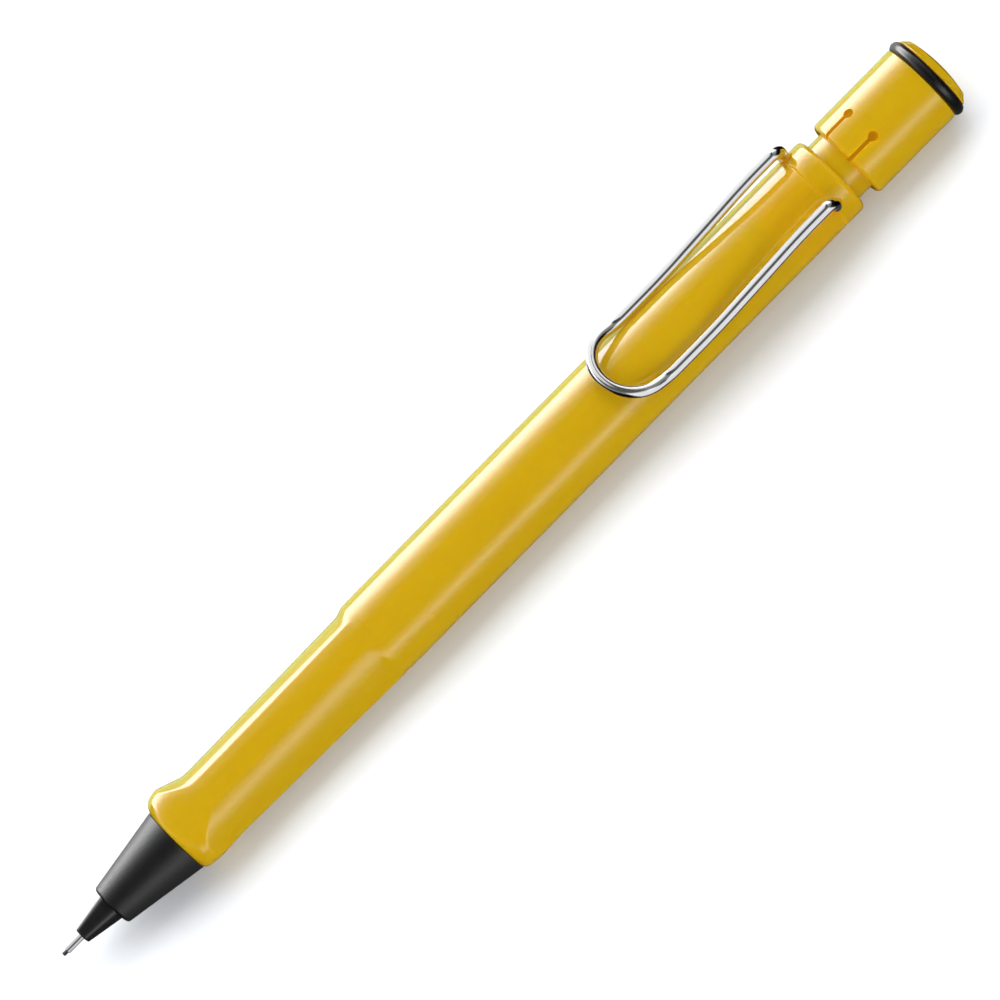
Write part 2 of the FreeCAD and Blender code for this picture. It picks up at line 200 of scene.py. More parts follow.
def swept_mesh(name, path, radius, steps=28, rounded_ends=True):
    """Round wire along a path of points, without a twist."""
    rings = []
    tangent = (path[1] - path[0]).normalized()
    side = tangent.orthogonal().normalized()
    count = len(path)
    for index, point in enumerate(path):
        before = path[max(index - 1, 0)]
        after = path[min(index + 1, count - 1)]
        turned_tangent = (after - before).normalized()
        side = tangent.rotation_difference(turned_tangent) @ side
        tangent = turned_tangent
        rings.append((point, tangent.copy(), side.copy(), radius))
    if rounded_ends:
        rounding = radius * 0.25
        for end, way in ((0, -1), (-1, 1)):
            point, along, across, _ = rings[end]
            cap = [(point + along * way * rounding * math.sin(t), along, across,
                    radius - rounding * (1 - math.cos(t))) for t in (0.5, 1.0, 1.5)]
            rings = cap[::-1] + rings if end == 0 else rings + cap
    vertices = []
    for point, along, across, ring_radius in rings:
        other = along.cross(across)
        for step in range(steps):
            angle = 2 * math.pi * step / steps
            offset = across * math.cos(angle) + other * math.sin(angle)
            vertices.append(point + offset * ring_radius)
    faces = []
    for index in range(len(rings) - 1):
        for step in range(steps):
            after = (step + 1) % steps
            base = index * steps
            faces.append([base + step, base + after, base + steps + after, base + steps + step])
    last = (len(rings) - 1) * steps
    faces.append(list(range(steps))[::-1])
    faces.append([last + step for step in range(steps)])
    return mesh_from(name, vertices, faces)


def cut(obj, cutters):
    """Cuts closed meshes out of a piece and removes them again."""
    for cutter_mesh in cutters:
        cutter = bpy.data.objects.new("cutter", cutter_mesh)
        bpy.context.scene.collection.objects.link(cutter)
        modifier = obj.modifiers.new("cut", "BOOLEAN")
        modifier.operation = "DIFFERENCE"
        modifier.solver = "EXACT"
        modifier.object = cutter
        bpy.context.view_layer.update()
        evaluated = obj.evaluated_get(bpy.context.evaluated_depsgraph_get())
        result = bpy.data.meshes.new_from_object(evaluated)
        obj.modifiers.remove(modifier)
        obj.data = result
        bpy.data.objects.remove(cutter)


def finished(obj, body, material, replaced, sharp=38):
    """Shades a piece, gives it its material and ties it to its body and CAD node."""
    mesh = obj.data
    mesh.materials.clear()
    mesh.materials.append(material)
    for polygon in mesh.polygons:
        polygon.use_smooth = True
        polygon.material_index = 0
    mesh.set_sharp_from_angle(angle=math.radians(sharp))
    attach(obj, body)
    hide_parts(replaced)
    return obj


def new_object(name, mesh):
    obj = bpy.data.objects.new(name, mesh)
    bpy.context.scene.collection.objects.link(obj)
    return obj


# ---- material helpers ---------------------------------------------------------------
class Recipe:
    """A node material with a Principled surface and short calls for its textures."""

    def __init__(self, name):
        self.material = bpy.data.materials.new(name)
        self.material.use_nodes = True
        self.tree = self.material.node_tree
        self.shader = self.tree.nodes["Principled BSDF"]
        self.place = self.add("ShaderNodeTexCoord").outputs["Object"]
        self.height = None

    def add(self, kind, **settings):
        node = self.tree.nodes.new(kind)
        for key, value in settings.items():
            setattr(node, key, value)
        return node

    def link(self, a, b):
        self.tree.links.new(a, b)

    def stretched(self, scale):
        """Object coordinates multiplied by one factor for each axis."""
        node = self.add("ShaderNodeMapping")
        node.inputs["Scale"].default_value = scale
        self.link(self.place, node.inputs["Vector"])
        return node.outputs["Vector"]

    def noise(self, size_mm, detail=3, roughness=0.5, place=None):
        node = self.add("ShaderNodeTexNoise")
        node.inputs["Scale"].default_value = 1 / (size_mm * MM)
        node.inputs["Detail"].default_value = detail
        node.inputs["Roughness"].default_value = roughness
        self.link(place or self.place, node.inputs["Vector"])
        return node.outputs["Fac"]

    def remap(self, value, low, high, to_low, to_high):
        node = self.add("ShaderNodeMapRange")
        for key, number in zip(("From Min", "From Max", "To Min", "To Max"),
                               (low, high, to_low, to_high)):
            node.inputs[key].default_value = number
        self.link(value, node.inputs["Value"])
        return node.outputs["Result"]

    def blend(self, share, first, second):
        """Mix of two colours by a share."""
        node = self.add("ShaderNodeMix", data_type="RGBA")
        self.link(share, node.inputs["Factor"])
        for key, colour in (("A", first), ("B", second)):
            socket = [s for s in node.inputs if s.name == key and s.type == "RGBA"][0]
            if isinstance(colour, tuple):
                socket.default_value = (*colour, 1)
            else:
                self.link(colour, socket)
        return [s for s in node.outputs if s.type == "RGBA"][0]

    def math(self, operation, a, b):
        node = self.add("ShaderNodeMath", operation=operation)
        for socket, value in zip(node.inputs, (a, b)):
            if isinstance(value, (int, float)):
                socket.default_value = value
            else:
                self.link(value, socket)
        return node.outputs["Value"]

    def painted_crevice_glow(self, reach_mm, strength):
        """Painted glow in narrow slots and seams: emission that grows with occlusion, standing in for
        light that seeps through thin walls.
        """
        node = self.add("ShaderNodeAmbientOcclusion", samples=8)
        node.inputs["Distance"].default_value = reach_mm * MM
        hidden = self.math("SUBTRACT", 1.0, node.outputs["AO"])
        return self.math("MULTIPLY", self.math("POWER", hidden, 2.5), strength)

    def bump(self, value, depth_mm, strength=1.0):
        """Adds relief of a real depth on top of the relief so far."""
        node = self.add("ShaderNodeBump")
        node.inputs["Strength"].default_value = strength
        node.inputs["Distance"].default_value = depth_mm * MM
        self.link(value, node.inputs["Height"])
        if self.height:
            self.link(self.height, node.inputs["Normal"])
        self.height = node.outputs["Normal"]
        self.link(self.height, self.shader.inputs["Normal"])

    def set(self, **sockets):
        """Sets or links sockets of the surface; an underscore stands for a space."""
        for key, value in sockets.items():
            socket = self.shader.inputs[key.replace("_", " ")]
            if isinstance(value, (int, float)):
                socket.default_value = value
            elif isinstance(value, tuple):
                socket.default_value = (*value, 1) if socket.type == "RGBA" else value
            else:
                self.link(value, socket)


def scratches(recipe, size_mm, share):
    """Hairline scratches: 1 on a scratch, 0 elsewhere. share is how much they cover."""
    lines = recipe.noise(size_mm, 2, 0.6, recipe.stretched((0.04, 1.0, 1.0)))
    return recipe.remap(lines, 1 - share, 1.0 - share * 0.6, 0, 1)


# ---- materials ----------------------------------------------------------------------
YELLOW_DEEP = (0.464, 0.292, 0.0046)
YELLOW_LIGHT = (0.494, 0.314, 0.0056)
PAINTED_GLOW_YELLOW = (0.60, 0.29, 0.006)     # painted glow colour: emission that stands in for light coming through the plastic


def yellow_abs():
    """Glossy through-coloured plastic with a few hairline scratches, and a painted glow in its slots and
    seams.
    """
    r = Recipe("yellow_abs")
    cloud = r.noise(9, 2)
    speck = r.noise(0.35, 2)
    base = r.blend(cloud, YELLOW_DEEP, YELLOW_LIGHT)
    fine = r.blend(r.remap(speck, 0.62, 0.8, 0, 0.25), base, YELLOW_LIGHT)
    handled = r.noise(5, 4, 0.65)
    rough = r.remap(handled, 0.35, 0.7, 0.085, 0.13)
    marks = scratches(r, 0.28, 0.34)
    r.set(Base_Color=fine, Roughness=r.math("ADD", rough, r.math("MULTIPLY", marks, 0.1)))
    r.set(IOR=1.5, Subsurface_Weight=0.8, Subsurface_Scale=0.0018)
    r.set(Subsurface_Radius=(1.0, 0.45, 0.05))
    # painted glow: orange emission in slots, seams and crevices, standing in for light through the thin
    # walls
    r.set(Emission_Color=PAINTED_GLOW_YELLOW, Emission_Strength=r.painted_crevice_glow(1.6, 0.56))
    r.bump(r.noise(1.6, 2), 0.0025, 0.6)
    r.bump(marks, 0.001, 0.25)
    return r.material


def black_textured():
    """Spark-eroded black plastic: a dense, fine, matte grain."""
    r = Recipe("black_textured_plastic")
    grain = r.noise(0.13, 3, 0.8)
    cloud = r.noise(4, 3)
    r.set(Base_Color=r.blend(cloud, (0.0030, 0.0030, 0.0031), (0.0048, 0.0048, 0.0050)))
    r.set(Roughness=r.remap(grain, 0.3, 0.7, 0.29, 0.43), IOR=1.5)
    r.bump(grain, 0.035, 0.85)
    return r.material


def turning_marks(r, pitch_mm):
    """Fine rings left by a lathe tool, as a height."""
    squeezed = r.stretched((1.0, 0.02, 0.02))
    return r.noise(pitch_mm, 2, 0.7, squeezed)


def turned_metal(name, dark, light, rough, ring_mm, depth_mm):
    """Turned metal with fine rings, small stains and a brushed sheen."""
    r = Recipe(name)
    rings = turning_marks(r, ring_mm)
    stain = r.noise(2.5, 4, 0.6)
    r.set(Base_Color=r.blend(stain, dark, light), Metallic=1.0)
    r.set(Roughness=r.math("ADD", r.remap(stain, 0.3, 0.7, rough, rough * 1.5),
                           r.remap(rings, 0.4, 0.7, 0, 0.06)))
    r.bump(rings, depth_mm, 0.5)
    return r.material


def black_metal():
    """Black-plated turned metal under a clear gloss."""
    r = Recipe("black_metal")
    rings = turning_marks(r, 0.12)
    stain = r.noise(1.5, 3)
    r.set(Base_Color=r.blend(stain, (0.006, 0.006, 0.007), (0.014, 0.013, 0.013)), Metallic=0.0)
    r.set(Roughness=r.remap(rings, 0.35, 0.7, 0.12, 0.22), IOR=1.4)
    r.bump(rings, 0.002, 0.4)
    return r.material


def chrome():
    """Plated spring wire: mirror-bright, with faint draw lines and a few dull specks."""
    r = Recipe("chrome_wire")
    draw = r.noise(0.1, 2, 0.6, r.stretched((0.05, 1.0, 1.0)))
    haze = r.noise(3, 4, 0.6)
    specks = r.remap(r.noise(0.3, 2), 0.7, 0.78, 0, 0.12)
    r.set(Base_Color=r.blend(haze, (0.74, 0.74, 0.75), (0.8, 0.8, 0.81)), Metallic=1.0)
    r.set(Roughness=r.math("ADD", r.remap(haze, 0.35, 0.7, 0.15, 0.19), specks))
    r.bump(draw, 0.0006, 0.35)
    return r.material


def rubber(name, dark, light, rough):
    """Moulded rubber with bloom, dust and a fine skin."""
    r = Recipe(name)
    bloom = r.noise(1.8, 4, 0.65)
    dust = r.remap(r.noise(0.18, 2), 0.68, 0.76, 0, 0.35)
    base = r.blend(bloom, dark, light)
    grey = tuple(0.6 * c + 0.05 for c in light)
    r.set(Base_Color=r.blend(dust, base, grey))
    r.set(Roughness=r.remap(bloom, 0.3, 0.7, rough, rough + 0.15), IOR=1.5)
    r.bump(r.noise(0.12, 3), 0.004, 0.4)
    return r.material


def plain_plastic(name, dark, light, rough, see_through=0.0):
    """Moulded plastic with flow clouds and a faint orange peel."""
    r = Recipe(name)
    flow = r.noise(3, 3, 0.55, r.stretched((0.3, 1.0, 1.0)))
    r.set(Base_Color=r.blend(flow, dark, light), IOR=1.49)
    r.set(Roughness=r.remap(flow, 0.3, 0.7, rough, rough + 0.12))
    r.set(Subsurface_Weight=0.3, Subsurface_Scale=0.0005, Transmission_Weight=see_through)
    r.bump(r.noise(0.5, 3), 0.003, 0.4)
    return r.material


def graphite():
    """Burnt polymer graphite: dark, with a greasy metallic sheen and draw lines."""
    r = Recipe("graphite")
    streak = r.noise(0.08, 3, 0.6, r.stretched((0.1, 1.0, 1.0)))
    r.set(Base_Color=r.blend(streak, (0.02, 0.02, 0.022), (0.07, 0.07, 0.075)), Metallic=0.6)
    r.set(Roughness=r.remap(streak, 0.3, 0.7, 0.32, 0.5))
    r.bump(streak, 0.004, 0.5)
    return r.material


MATERIALS = {
    "yellow_abs": yellow_abs(),
    "chrome_wire": chrome(),
    "nickel_steel": turned_metal("nickel_steel", (0.5, 0.49, 0.46), (0.62, 0.6, 0.56), 0.16, 0.2, 0.002),
    "black_textured_plastic": black_textured(),
    "black_metal": black_metal(),
    "steel": turned_metal("steel", (0.5, 0.5, 0.51), (0.62, 0.62, 0.63), 0.14, 0.1, 0.0015),
    "spring_steel": turned_metal("spring_steel", (0.36, 0.36, 0.37), (0.5, 0.5, 0.5), 0.2, 0.15, 0.001),
    "black_rubber": rubber("black_rubber", (0.003, 0.003, 0.003), (0.007, 0.007, 0.007), 0.22),
    "brass": turned_metal("brass", (0.62, 0.42, 0.14), (0.75, 0.54, 0.22), 0.16, 0.12, 0.002),
    "white_acetal": plain_plastic("white_acetal", (0.52, 0.52, 0.50), (0.60, 0.60, 0.58), 0.32),
    "milky_polypropylene": plain_plastic(
        "milky_polypropylene", (0.44, 0.47, 0.47), (0.56, 0.58, 0.57), 0.28, 0.35),
    "graphite": graphite(),
    "eraser_rubber": rubber("eraser_rubber", (0.54, 0.54, 0.52), (0.62, 0.62, 0.60), 0.55),
}


def finish_cad_nodes():
    """Every CAD node that stays takes the material of its slot."""
    for part in frame["record"]["subparts"]:
        node = frame["nodes"][part["node"]]
        node.data.materials.clear()
        node.data.materials.append(MATERIALS[part["material_slot"]])


# ---- barrel -------------------------------------------------------------------------
BARREL_FRONT = front_of("barrel")
BARREL_REAR = rear_of("barrel") + 0.03       # closes the hairline gap to the collar
BARREL_R = 5.15
FACE_R = 4.25            # edge of the front face
RIDGE_HALF = math.radians(20.4)
RIDGE_FRONT_R = 4.6
RIDGE_REAR_R = 5.12
RIDGE_CORNER = 0.43      # flattens the ridges, so that their corners stand out
FACET_FRONT_R = 4.38     # the facets' middle
FACET_REAR_R = 4.66
FLARE_START = 22.9       # in front of it the facets turn outward to the lips
FLARE_SLOPE = 0.38
LIP = 19.7               # station of the finger lips' crest
LOBE = 1.12              # how far the lips stand out
LOBE_END = 25.5
GRIP_END = 47.4
GRIP_RUNOUT = 49.2
THREAD_R = 3.25
THREAD_PITCH = 0.8
SEAT = 25.6              # shoulder at the end of the thread
BORE_R = 3.9
BORE_END = 50.5          # where the wide rear bore starts to narrow
NARROW_START = 48.5
NARROW_R = 2.9
COLLAR_SEAT = front_of("barrel_collar")
COLLAR_R = 5.17
SPIGOT_R = 4.6
CLIP_HOLE = BARREL_REAR + 0.22
CLIP_HOLE_R = 0.97
CLIP_HOLE_ANGLE = math.radians(51.5)


def soft_minimum(a, b, reach):
    """The smaller of two numbers, rounded off where they are closer than reach."""
    share = max(reach - abs(a - b), 0) / reach
    return min(a, b) - share * share * reach / 4


def ridge_radius(station):
    if station > GRIP_RUNOUT:
        return min(RIDGE_REAR_R + (station - GRIP_RUNOUT) * 0.01, BARREL_R)
    growth = max(station - LIP, 0) / (GRIP_RUNOUT - LIP)
    return RIDGE_FRONT_R + (RIDGE_REAR_R - RIDGE_FRONT_R) * growth


def lobed(angle):
    """0 on each of the three ridges, 1 halfway between them."""
    return (1 - math.cos(3 * angle)) / 2


def runout(station):
    """0 along the grip, 1 where the facets have run out."""
    return smooth_step((station - GRIP_END) / (GRIP_RUNOUT - GRIP_END))


def corner_height(station, angle):
    """How far the flattened ridges rise toward their corners."""
    return RIDGE_CORNER * (1 - runout(station)) * lobed(angle)


def facet_radius(station, angle):
    """Distance of the facet's curved surface from the axis."""
    ahead = FLARE_START - station
    flare = FLARE_SLOPE * (ahead + math.hypot(ahead, 0.55)) / 2
    edge = ridge_radius(station) + corner_height(station, RIDGE_HALF) + flare
    growth = (station - LIP) / (GRIP_END - LIP)
    middle = FACET_FRONT_R + (FACET_REAR_R - FACET_FRONT_R) * growth + flare
    middle += (edge + 0.04 - middle) * runout(station)
    off_facet = abs((angle % math.radians(120)) - math.radians(60))
    half = math.radians(60) - RIDGE_HALF
    centre = (edge ** 2 - middle ** 2) / (2 * (edge * math.cos(half) - middle))
    arc = middle - centre
    side = centre * math.sin(off_facet)
    return centre * math.cos(off_facet) + math.sqrt(max(arc * arc - side * side, 0))


def blank_radius(station, angle):
    """Distance from the axis before the facets are cut."""
    behind = max(station - BARREL_FRONT, 0)
    ridge = ridge_radius(station) - (RIDGE_FRONT_R - FACE_R) * math.exp(-behind / 0.25)
    fade = 1 - smooth_step((station - LIP) / (LOBE_END - LIP))
    lobe = LOBE * (1 - math.exp(-behind / 0.8)) * fade * lobed(angle)
    grown = smooth_step((station - BARREL_FRONT) / (LIP - BARREL_FRONT))
    return ridge - soft_minimum(-lobe, -corner_height(station, angle) * grown, 0.08)


def grip_radius(station):
    """The barrel's outer radius at a station, as a function of the angle."""
    def radius(angle):
        blank = blank_radius(station, angle)
        if station > GRIP_RUNOUT + 0.3:
            return blank
        return soft_minimum(blank, facet_radius(station, angle), 0.045)
    return radius


def helix_radius(station, crest, depth, fade):
    """Thread flank at a station as a function of angle; depth is negative for a nut."""
    def radius(angle):
        turn = (station / THREAD_PITCH - angle / (2 * math.pi)) % 1
        tooth = min(max(abs(turn - 0.5) * 4 - 0.5, 0), 1)
        return crest - depth * (1 - tooth * fade)
    return radius


def clip_hole_cutters():
    """Two radial rods that cut the holes for the clip's ends."""
    cutters = []
    for angle in (-CLIP_HOLE_ANGLE, CLIP_HOLE_ANGLE):
        path = [polar(CLIP_HOLE, distance, angle) for distance in (3.6, 4.6, 5.6, 6.6)]
        cutters.append(swept_mesh("cutter", path, CLIP_HOLE_R, 48, False))
    return cutters


def build_barrel():
    """Outside from the nose to the rear edge, then back through the bore to the thread."""
    outer = spread(BARREL_FRONT, BARREL_FRONT + 1, 14) + spread(BARREL_FRONT + 1.15, 24.5, 44)
    outer += spread(25, GRIP_END - 0.4, 24) + spread(GRIP_END - 0.2, GRIP_RUNOUT + 0.4, 22)
    outer += spread(GRIP_RUNOUT + 2.8, BARREL_REAR - 0.25, 30)
    rings = [(s, grip_radius(s)) for s in outer]
    rear_edge = 0.15
    for turn in spread(0, math.pi / 2, 5):
        rings.append((BARREL_REAR - rear_edge + rear_edge * math.sin(turn),
                      BARREL_R - rear_edge + rear_edge * math.cos(turn)))
    rings += [(BARREL_REAR, SPIGOT_R + 0.05), (BARREL_REAR, SPIGOT_R), (BARREL_REAR - 0.05, SPIGOT_R)]
    rings += [(COLLAR_SEAT, SPIGOT_R), (COLLAR_SEAT, BORE_R), (BORE_END, BORE_R)]
    rings += [(NARROW_START, NARROW_R), (SEAT, NARROW_R), (SEAT, THREAD_R + 0.12)]
    for s in spread(SEAT - 0.4, BARREL_FRONT + 0.6, 70):
        rings.append((s, helix_radius(s, THREAD_R, -0.13, 1)))
    rings += [(BARREL_FRONT + 0.3, THREAD_R + 0.13), (BARREL_FRONT, THREAD_R + 0.35)]
    barrel = new_object("barrel_shell", ring_mesh("barrel_shell", rings, 288))
    cut(barrel, clip_hole_cutters())
    finished(barrel, "barrel_body", MATERIALS["yellow_abs"], "barrel")


def build_collar():
    """Ring behind the parting line, with its spigot inside the barrel."""
    front = BARREL_REAR + 0.02
    rear = rear_of("barrel_collar")
    bore = 4.1
    rings = outline((COLLAR_SEAT, bore), (COLLAR_SEAT, SPIGOT_R - 0.01, 0.2), (front, SPIGOT_R - 0.01),
                    (front, COLLAR_R, 0.15), (rear, COLLAR_R, 0.7), (rear, bore, 0.1))
    collar = new_object("collar_ring", ring_mesh("collar_ring", rings, 192))
    cut(collar, clip_hole_cutters())
    finished(collar, "barrel_body", MATERIALS["yellow_abs"], "barrel_collar")


# ---- clip ---------------------------------------------------------------------------
WIRE_R = 0.72
HALF_SPAN = 4.4          # from the middle of the clip to the middle of a leg
LOOP_FRONT = 87.3
LOOP_RISE = 6.5
LEG_LOW = 4.0            # where the legs rest beside the barrel
LEG_HIGH = 6.03


def build_clip():
    """The bent wire, with its raised U in front and its ends turned into the holes."""
    half = [
        (Vector((LOOP_FRONT, HALF_SPAN, LOOP_RISE)), HALF_SPAN),
        (Vector((LOOP_FRONT + 5.7, HALF_SPAN, LEG_LOW)), 6),
        (Vector((LOOP_FRONT + 13.3, HALF_SPAN, LEG_LOW)), 40),
        (Vector((LOOP_FRONT + 27.0, HALF_SPAN + 0.05, LEG_HIGH)), 30),
        (Vector((CLIP_HOLE, HALF_SPAN + 0.05, LEG_HIGH)), 1.3),
        (polar(CLIP_HOLE, 5.65, CLIP_HOLE_ANGLE), 2.1),
        (polar(CLIP_HOLE, 4.32, CLIP_HOLE_ANGLE), 0),
    ]
    mirrored = [(Vector((p.x, -p.y, p.z)), rounding) for p, rounding in reversed(half)]
    path = rounded_points(mirrored + half, False, 18)
    path = [p for i, p in enumerate(path) if i == 0 or (p - path[i - 1]).length > 0.01]
    clip = new_object("clip_wire", swept_mesh("clip_wire", with_support(path, 0.3), WIRE_R, 40))
    finished(clip, "clip_unit", MATERIALS["chrome_wire"], "clip", 50)


# ---- tip unit -----------------------------------------------------------------------
TIP_SEAT = front_of("front_cone") + 2.0     # where the metal tip's collar meets the black cone
TIP_COLLAR_R = 2.5
TIP_NECK_R = 1.83                           # hole that the metal tip looks out of
ROOT_R = 2.95                               # bottom of the cone's thread
SLEEVE_R = 0.4
SLEEVE_BORE_R = 0.3
LEAD_R = 0.25


def build_front_cone():
    """Black cone with the threaded spigot behind its shoulder."""
    front = front_of("front_cone")
    shoulder = BARREL_FRONT - 0.05
    groove = shoulder + 0.5
    end = rear_of("front_cone")
    rings = outline((front, TIP_NECK_R), (front, 2.64, 0.45), (shoulder, 4.28, 0.12), (shoulder, ROOT_R),
                    (groove, ROOT_R), (end, ROOT_R, 0.2), (end, TIP_COLLAR_R), (TIP_SEAT, TIP_COLLAR_R),
                    (TIP_SEAT, TIP_NECK_R))
    before = next(i for i, ring in enumerate(rings) if abs(ring[0] - groove) < 0.02) + 1
    thread = []
    for s in spread(groove + 0.3, end - 0.6, 90):
        fade = min(s - groove - 0.3, end - 0.6 - s, 0.4) / 0.4
        thread.append((s, helix_radius(s, THREAD_R - 0.05, 0.25, max(fade, 0))))
    rings = rings[:before] + thread + rings[before:]
    cone = new_object("cone_shell", ring_mesh("cone_shell", rings, 144))
    plastic = "black_textured_plastic"
    finished(cone, "tip_unit", MATERIALS[plastic], "front_cone")


def build_tip_cone():
    """Black metal tip: its cone in front, its collar and its bores behind."""
    start = front_of("tip_cone")
    end = rear_of("tip_cone")
    seat = rear_of("lead_sleeve")
    neck = TIP_NECK_R - 0.02
    rings = outline((start, SLEEVE_R), (start, 1.0, 0.25), (front_of("front_cone"), neck),
                    (TIP_SEAT, neck), (TIP_SEAT, TIP_COLLAR_R), (end, TIP_COLLAR_R, 0.1), (end, 1.85),
                    (TIP_SEAT + 0.36, 1.85), (TIP_SEAT - 0.04, 1.3), (seat, 1.3), (seat, SLEEVE_R))
    cone = new_object("metal_tip", ring_mesh("metal_tip", rings, 144))
    finished(cone, "tip_unit", MATERIALS["black_metal"], "tip_cone")


def build_lead_sleeve():
    end = rear_of("lead_sleeve")
    rings = outline((0, SLEEVE_BORE_R, 0.02), (0, SLEEVE_R, 0.05), (end, SLEEVE_R), (end, SLEEVE_BORE_R))
    sleeve = new_object("sleeve_tube", ring_mesh("sleeve_tube", rings, 72))
    finished(sleeve, "tip_unit", MATERIALS["steel"], "lead_sleeve")


def build_lead():
    """The writing lead, its end worn to a low, slightly chipped dome."""
    front = front_of("writing_lead")
    end = rear_of("writing_lead")
    worn = front + 0.02
    rings = [(worn, 0)]
    for share in (0.4, 0.75, 0.92, 1.0):
        def radius(angle, share=share):
            chip = 0.03 * math.sin(3 * angle + 1) + 0.02 * math.sin(7 * angle)
            return LEAD_R * share * (1 + chip * (1 - share) * 3)
        rings.append((worn + 0.06 * share ** 3, radius))
    rings += [(front + 0.3, LEAD_R), (end - 0.05, LEAD_R), (end, LEAD_R - 0.01), (end, 0)]
    lead = new_object("lead_rod", ring_mesh("lead_rod", rings, 48, False))
    finished(lead, "lead_unit", MATERIALS["graphite"], "writing_lead")


# ---- neck and push cap --------------------------------------------------------------
NECK_R = 4.05
SPIGOT_TOP_R = 3.6       # the neck's rear part, which goes into the cap
SNAP_BEAD = 126.6
TUBE_R = 1.95
PASSAGE_R = 1.5          # way for the spare leads
CUP_R = 2.85             # bore for the eraser's cup
CAP_R = 5.2
CAP_BORE_R = 3.8
CAP_POCKET = 132.6       # where the cap's bore steps in round the eraser
CAP_ROOF = 135.6
KEYHOLE = 127.7
KEYHOLE_R = 0.6
KEYHOLE_ARC = 2.72       # radians to each side, up to where the slot leaves the round end
SLOT_HALF = 0.25


def build_neck():
    """Neck with the snap bead that the cap clicks over."""
    front = front_of("button_neck")
    end = rear_of("button_neck")
    tube_end = rear_of("lead_tube")
    shoulder = front_of("push_cap") - 0.005
    rings = outline((front, TUBE_R), (front, NECK_R, 0.3), (shoulder, NECK_R, 0.05),
                    (shoulder, SPIGOT_TOP_R, 0.1), (SNAP_BEAD - 0.4, SPIGOT_TOP_R),
                    (SNAP_BEAD, SPIGOT_TOP_R + 0.15, 0.2), (SNAP_BEAD + 0.4, SPIGOT_TOP_R),
                    (end, SPIGOT_TOP_R, 0.3), (end, CUP_R, 0.1), (124.5, CUP_R), (123.0, PASSAGE_R),
                    (tube_end, PASSAGE_R), (tube_end, TUBE_R))
    neck = new_object("neck_shell", ring_mesh("neck_shell", rings, 192))
    finished(neck, "feed_unit", MATERIALS["yellow_abs"], "button_neck")


def keyhole_cutters():
    """Slots from the cap's lower edge, each ending in a round hole."""
    start = front_of("push_cap") - 0.5
    cutters = []
    for degrees in (-22.5, 22.5, 157.5, 202.5):
        angle = math.radians(degrees)
        outward = polar(0, 1, angle)
        across = polar(0, 1, angle + math.pi / 2)
        shape = []
        for turn in spread(-KEYHOLE_ARC, KEYHOLE_ARC, 40):
            shape.append((KEYHOLE + KEYHOLE_R * math.cos(turn), KEYHOLE_R * math.sin(turn)))
        shape += [(start, SLOT_HALF), (start, -SLOT_HALF)]
        vertices = []
        for height in (2.6, CAP_R + 0.8):
            vertices += [Vector((s, 0, 0)) + across * w + outward * height for s, w in shape]
        count = len(shape)
        faces = [list(range(count)), list(range(2 * count - 1, count - 1, -1))]
        faces += [[i, i + count, (i + 1) % count + count, (i + 1) % count] for i in range(count)]
        cutters.append(mesh_from("cutter", vertices, faces))
    return cutters


def build_push_cap():
    """Cap with its ring groove, chamfered end, pocket for the eraser and keyhole slots."""
    front = front_of("push_cap")
    end = rear_of("push_cap")
    ring = (front_of("o_ring") + rear_of("o_ring")) / 2
    rings = outline((front, CAP_BORE_R, 0.1), (front, CAP_R, 0.6), (ring - 0.75, CAP_R, 0.15),
                    (ring - 0.75, 4.0), (ring + 0.75, 4.0), (ring + 0.75, CAP_R - 0.1, 0.1),
                    (end - 0.47, 4.19, 0.35), (end, 2.0, 18), (end, 0), (CAP_ROOF, 0), (CAP_ROOF, 3.0),
                    (CAP_POCKET, 3.0), (CAP_POCKET, CAP_BORE_R))
    cap = new_object("cap_shell", ring_mesh("cap_shell", rings, 240))
    cut(cap, keyhole_cutters())
    finished(cap, "cap_unit", MATERIALS["yellow_abs"], "push_cap")


def build_o_ring():
    """Rubber ring with the fine line of its mould."""
    middle = (front_of("o_ring") + rear_of("o_ring")) / 2
    centre_r = 4.75
    steps = 56
    rings = []
    for step in range(steps):
        turn = 2 * math.pi * (step + 0.5) / steps
        section = 0.74 + 0.01 * math.exp(-(math.sin(turn) / 0.06) ** 2)
        rings.append((middle + section * math.sin(turn), centre_r + section * math.cos(turn)))
    ring = new_object("rubber_ring", ring_mesh("rubber_ring", rings, 192))
    finished(ring, "cap_unit", MATERIALS["black_rubber"], "o_ring", 80)


def build_spring():
    """Coil spring, its end turns closer together."""
    wire = 0.17
    start = front_of("return_spring") + wire + 0.01
    end = rear_of("return_spring") - wire - 0.01
    turns = 9
    path = []
    for share in spread(0, 1, turns * 36):
        rise = smooth_step(share) * 0.35 + share * 0.65
        path.append(polar(start + (end - start) * rise, 1.6, 2 * math.pi * share * turns))
    spring = new_object("coil_spring", swept_mesh("coil_spring", path, wire, 12))
    finished(spring, "barrel_body", MATERIALS["spring_steel"], "return_spring", 60)
    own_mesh(spring)


# ---- stage, light and camera --------------------------------------------------------
ROLL = math.radians(19.5)            # the clip direction, turned from the view direction
TOWARD_CAMERA = Vector((0, -math.sin(ROLL), math.cos(ROLL)))
ACROSS_VIEW = Vector((0, math.cos(ROLL), math.sin(ROLL)))
TILT = math.radians(45.446)          # of the pencil in the picture
VIEW_DISTANCE = 0.757
VIEW_WIDTH = 0.1118
AIM = in_frame(69.87, 0, 0) + ACROSS_VIEW * 0.894 * MM


